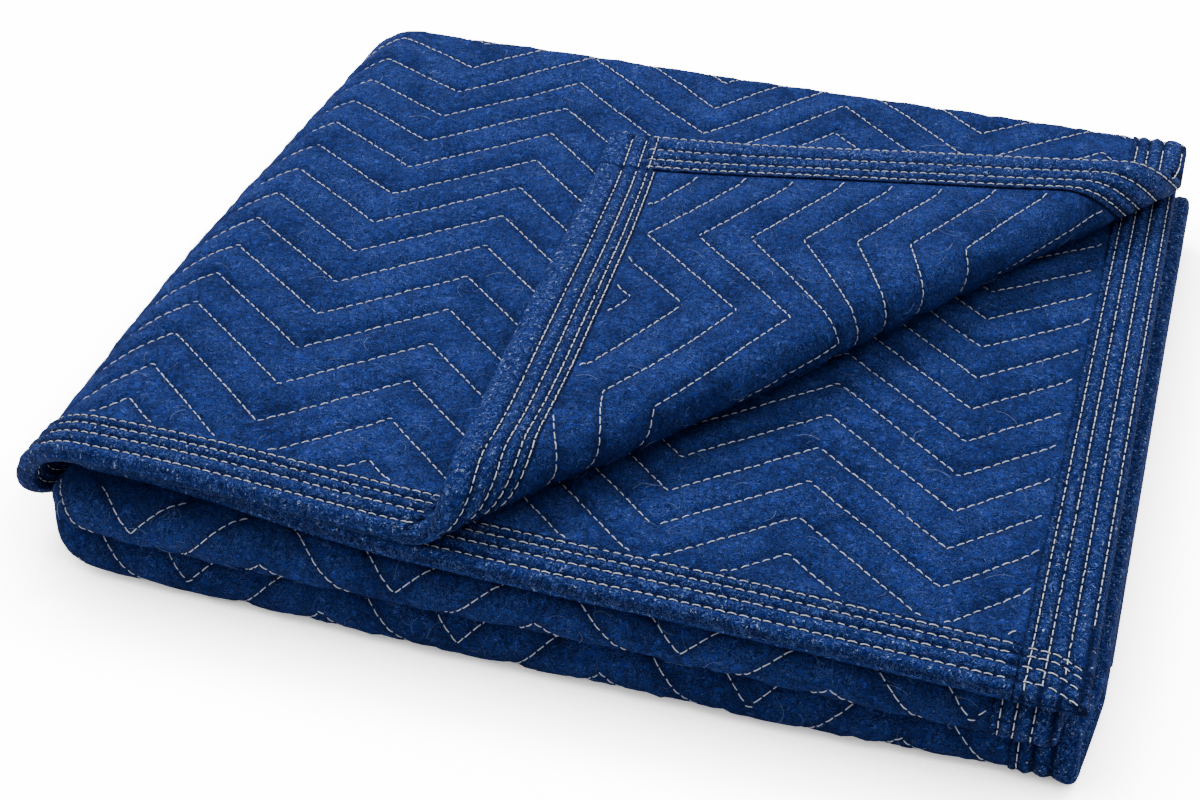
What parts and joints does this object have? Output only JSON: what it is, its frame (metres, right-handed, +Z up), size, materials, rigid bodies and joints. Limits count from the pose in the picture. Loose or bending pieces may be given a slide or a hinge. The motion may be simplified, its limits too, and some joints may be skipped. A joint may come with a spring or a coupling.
{
  "type": "moving blanket",
  "caption": "Quilted moving blanket with bound edges, folded into a low stack with one corner of the top layer turned back.",
  "frame": {"origin": "centre of the stack's footprint, on the surface it rests on", "axes": "+X to the right along the front edge, +Y to the back fold, +Z up"},
  "size_m": [0.545, 0.4986, 0.0988],
  "materials": {
    "felt": "matt blue felt with a short nap",
    "binding": "matt blue woven binding"
  },
  "bodies": {
    "root": {"quilt": "felt", "binding_front_outer": "binding", "binding_front_inner": "binding", "binding_side_upper": "binding", "binding_side_lower": "binding"}
  },
  "joints": []
}
